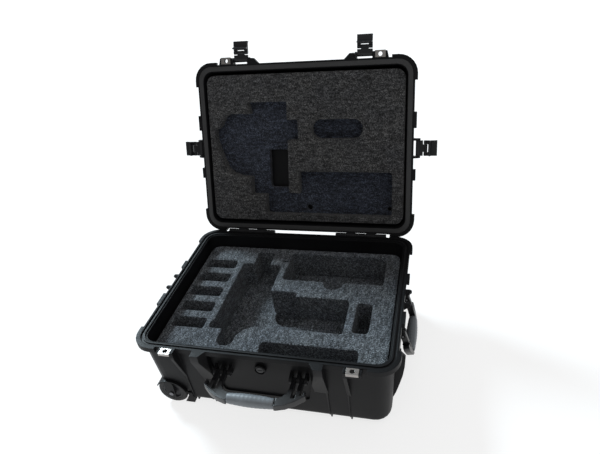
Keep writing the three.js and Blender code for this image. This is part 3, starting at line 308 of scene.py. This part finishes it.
# One foam in three copies: the base foam's blue tint is painted bluish light, the lid foam is darkened as
# painted shade, and the deep lid floor foam is darker and bluer still as painted shade.
BASE_FOAM_BLUE_LIT = foam_material("base_foam_cells_blue_lit", (0.045, 0.052, 0.062), (0.27, 0.3, 0.335), FRONT_TO_BACK)
LID_FOAM_SHADED = foam_material("lid_foam_cells_shaded", (0.028, 0.0285, 0.03), (0.165, 0.165, 0.169), SIDE_TO_SIDE)
DEEP_FOAM_SHADED = foam_material("deep_foam_cells_shaded", (0.018, 0.022, 0.036), (0.1, 0.118, 0.165), SIDE_TO_SIDE)
STEEL = steel_material("stainless", (0.36, 0.34, 0.325), 0.28, (1.0, 12.0, 12.0))
PIN_STEEL = steel_material("pin_steel", (0.16, 0.16, 0.17), 0.4, (1.0, 12.0, 12.0))
ALUMINIUM = steel_material("tube_aluminium", (0.6, 0.61, 0.63), 0.32, (1.0, 14.0, 14.0))


# ---- CAD nodes that keep their shape --------------------------------------------------------
def smooth_by_angle():
    """A node group that shades smooth everywhere but across edges sharper than its angle."""
    group = bpy.data.node_groups.new("smooth_by_angle", "GeometryNodeTree")
    group.interface.new_socket("Geometry", in_out="INPUT", socket_type="NodeSocketGeometry")
    group.interface.new_socket("Geometry", in_out="OUTPUT", socket_type="NodeSocketGeometry")
    start = group.nodes.new("NodeGroupInput")
    end = group.nodes.new("NodeGroupOutput")
    faces = group.nodes.new("GeometryNodeSetShadeSmooth")
    edges = group.nodes.new("GeometryNodeSetShadeSmooth")
    edges.domain = "EDGE"
    angle = group.nodes.new("GeometryNodeInputMeshEdgeAngle")
    test = group.nodes.new("FunctionNodeCompare")
    test.operation = "GREATER_THAN"
    test.inputs["B"].default_value = SMOOTH_EDGE
    group.links.new(start.outputs[0], faces.inputs["Geometry"])
    group.links.new(faces.outputs["Geometry"], edges.inputs["Geometry"])
    group.links.new(angle.outputs["Unsigned Angle"], test.inputs["A"])
    group.links.new(test.outputs["Result"], edges.inputs["Selection"])
    edges.inputs["Shade Smooth"].default_value = False
    group.links.new(edges.outputs["Geometry"], end.inputs[0])
    return group


SMOOTH = smooth_by_angle()


def add_weld(piece):
    piece.modifiers.new("weld", "WELD").merge_threshold = WELD_DISTANCE


def soften(piece, width):
    """Rounds the edges and shades smooth; the node's own mesh stays as it is."""
    add_weld(piece)
    bevel = piece.modifiers.new("bevel", "BEVEL")
    bevel.width = width
    bevel.segments = BEVEL_SEGMENTS
    bevel.limit_method = "ANGLE"
    bevel.angle_limit = SHARP_EDGE
    bevel.use_clamp_overlap = False
    smooth = piece.modifiers.new("smooth", "NODES")
    smooth.node_group = SMOOTH
    weighted = piece.modifiers.new("weighted", "WEIGHTED_NORMAL")
    weighted.keep_sharp = True


def paint(piece, material):
    piece.data.materials.clear()
    piece.data.materials.append(material)


def finish_nodes():
    """Gives each hard node its material and bevel; the widths are in mm."""
    for names, material, width in (
        (("base_shell", "lid_shell"), SHELL, 0.6),
        (("trolley_cover", "wheel_housing_front", "wheel_housing_back"), SHELL, 0.6),
        (("valve_body", "valve_cap", "trolley_grip"), LATCH, 0.5),
        (("front_handle", "side_handle"), HANDLE, 1.2),
        (("lid_seal",), SEAL, 0.6),
        (("trolley_button",), GRIP, 0.5),
        (("wheel_hub_front", "wheel_hub_back"), WHEEL, 0.5),
        (("wheel_tyre_front", "wheel_tyre_back"), TYRE, 0.8),
    ):
        for name in names:
            paint(NODES[name], material)
            soften(NODES[name], width * MM)
    for place in LATCHES:
        for name in ("latch_arm_" + place, "latch_lever_" + place):
            paint(NODES[name], LATCH)
            soften(NODES[name], 0.6 * MM)
        for name in ("latch_pin_" + place, "latch_hinge_pin_" + place):
            paint(NODES[name], PIN_STEEL)
            soften(NODES[name], 0.3 * MM)
    for side in ("left", "right"):
        for name in ("padlock_plate_base_", "padlock_plate_lid_"):
            paint(NODES[name + side], STEEL)
            soften(NODES[name + side], 0.35 * MM)
        for name in ("hinge_pin_", "front_handle_pin_", "side_handle_pin_"):
            paint(NODES[name + side], PIN_STEEL)
            soften(NODES[name + side], 0.3 * MM)
    for end in ("front", "back"):
        paint(NODES["wheel_axle_" + end], PIN_STEEL)
        soften(NODES["wheel_axle_" + end], 0.4 * MM)
        for stage in ("outer", "middle", "inner"):
            name = f"trolley_{stage}_tube_{end}"
            paint(NODES[name], ALUMINIUM)
            soften(NODES[name], 0.25 * MM)


# ---- foam ---------------------------------------------------------------------------------
FINE_VOXEL = 2.0 * MM
FLOOR_VOXEL_FACTOR = 1.4
TEAR_SIZE = 4.2 * MM
TEAR_RELIEF = 0.45 * MM
CUT_BACK = 0.1 * MM
TEAR_WALL = 2.6
RIPPLES_PER_METRE = 60.0


def evaluated_copy(source, name, add_modifiers):
    """A new object with source's mesh after the modifiers that add_modifiers puts on it."""
    piece = bpy.data.objects.new(name, source.data.copy())
    bpy.context.scene.collection.objects.link(piece)
    add_modifiers(piece)
    graph = bpy.context.evaluated_depsgraph_get()
    mesh = bpy.data.meshes.new_from_object(piece.evaluated_get(graph))
    old = piece.data
    piece.modifiers.clear()
    piece.data = mesh
    bpy.data.meshes.remove(old)
    mesh.name = name
    return piece


def torn_cells(point):
    """Height of a cut foam face at a point, from -1 in a cell's middle to 1 on its walls."""
    distances, _ = noise.voronoi(point / TEAR_SIZE)
    return max(-1.0, min(1.0, 1.0 - TEAR_WALL * (distances[1] - distances[0])))


def foam_layer(node, name, body, material, voxel):
    """Replaces a CAD foam solid by the same cut shape with soft edges and a torn cell surface."""
    def modifiers(piece):
        add_weld(piece)
        remesh = piece.modifiers.new("remesh", "REMESH")
        remesh.mode = "VOXEL"
        remesh.voxel_size = voxel
        soft = piece.modifiers.new("soft", "SMOOTH")
        soft.factor = 0.5
        soft.iterations = 2

    piece = evaluated_copy(NODES[node], name, modifiers)
    mesh = piece.data
    mesh.update()
    moves = []
    for vertex in mesh.vertices:
        height = 0.75 * torn_cells(vertex.co) + 0.4 * noise.noise(vertex.co * RIPPLES_PER_METRE)
        moves.append(vertex.normal * (TEAR_RELIEF * height - CUT_BACK))
    for vertex, move in zip(mesh.vertices, moves):
        vertex.co += move
    mesh.polygons.foreach_set("use_smooth", [True] * len(mesh.polygons))
    mesh.materials.clear()
    mesh.materials.append(material)
    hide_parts(node)
    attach(piece, body)


def make_foam():
    voxel = FINE_VOXEL
    coarse = FLOOR_VOXEL_FACTOR * voxel
    foam_layer("base_foam", "foam_insert", "base", BASE_FOAM_BLUE_LIT, voxel)
    foam_layer("base_foam_pad", "foam_floor", "base", BASE_FOAM_BLUE_LIT, coarse)
    foam_layer("lid_foam", "lid_foam_insert", "lid", LID_FOAM_SHADED, voxel)
    foam_layer("lid_foam_backing", "lid_foam_floor", "lid", DEEP_FOAM_SHADED, coarse)


# ---- handle grips ---------------------------------------------------------------------------
GRIP_HALF = 48.0
GRIP_BORE = 6.9
GRIP_END = 10.0
GRIP_SWELL = 2.6
END_ROUND = ((0.0, 8.6), (0.5, 9.5), (1.4, GRIP_END))  # distance from the end, radius
GROOVED_SHARE = 0.86
GROOVE_DEPTH = 0.35
GROOVE_CYCLES = 5.5
PROFILE_STEPS = 44
SLEEVE_SIDES = 40
SKIN_RADIUS = 9.0
SEAM_HEIGHT = 0.25
FLATTENING = 0.5


def grip_profile():
    """Distance along the grip from its middle and radius, in mm, from one bore edge to the other."""
    rounded = [(GRIP_HALF - inset, radius) for inset, radius in END_ROUND]
    outline = [(-GRIP_HALF, GRIP_BORE)]
    outline += [(-distance, radius) for distance, radius in rounded]
    reach = rounded[-1][0]
    for step in range(1, PROFILE_STEPS):
        share = -1.0 + 2.0 * step / PROFILE_STEPS
        wave = 0.5 + 0.5 * math.cos(2.0 * math.pi * share * GROOVE_CYCLES)
        groove = GROOVE_DEPTH * wave if abs(share) < GROOVED_SHARE else 0.0
        outline.append((share * reach, GRIP_END + GRIP_SWELL * (1.0 - share * share) - groove))
    outline += rounded[::-1]
    outline.append((GRIP_HALF, GRIP_BORE))
    return outline


def grip_sleeve(node, name, body):
    """A barrel-shaped sleeve with shallow finger grooves and a moulding seam, for the plain tube."""
    low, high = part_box(node)
    centre = (low + high) / 2.0
    size = high - low
    along = Vector((1.0, 0.0, 0.0)) if size.x > size.y else Vector((0.0, 1.0, 0.0))
    side = along.cross(Vector((0.0, 0.0, 1.0)))
    up = Vector((0.0, 0.0, 1.0))
    sleeve = bmesh.new()
    rings = []
    for distance, radius in grip_profile():
        ring = []
        outer = radius > SKIN_RADIUS
        for step in range(SLEEVE_SIDES):
            angle = 2.0 * math.pi * step / SLEEVE_SIDES
            seam = SEAM_HEIGHT if outer and step in (0, SLEEVE_SIDES // 2) else 0.0
            reach = radius + seam - FLATTENING * math.cos(2.0 * angle) * outer
            outward = math.cos(angle) * side + math.sin(angle) * up
            ring.append(sleeve.verts.new(centre + MM * (distance * along + reach * outward)))
        rings.append(ring)
    for first, second in zip(rings, rings[1:] + rings[:1]):
        for step in range(SLEEVE_SIDES):
            after = (step + 1) % SLEEVE_SIDES
            sleeve.faces.new((first[step], first[after], second[after], second[step]))
    bmesh.ops.recalc_face_normals(sleeve, faces=sleeve.faces)
    mesh = bpy.data.meshes.new(name)
    sleeve.to_mesh(mesh)
    sleeve.free()
    mesh.polygons.foreach_set("use_smooth", [True] * len(mesh.polygons))
    mesh.materials.append(GRIP)
    piece = bpy.data.objects.new(name, mesh)
    bpy.context.scene.collection.objects.link(piece)
    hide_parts(node)
    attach(piece, body)


# ---- assembly -----------------------------------------------------------------------------
make_camera()
make_stage()
finish_nodes()
make_foam()
grip_sleeve("front_handle_grip", "front_grip_sleeve", "front_handle")
grip_sleeve("side_handle_grip", "side_grip_sleeve", "side_handle")
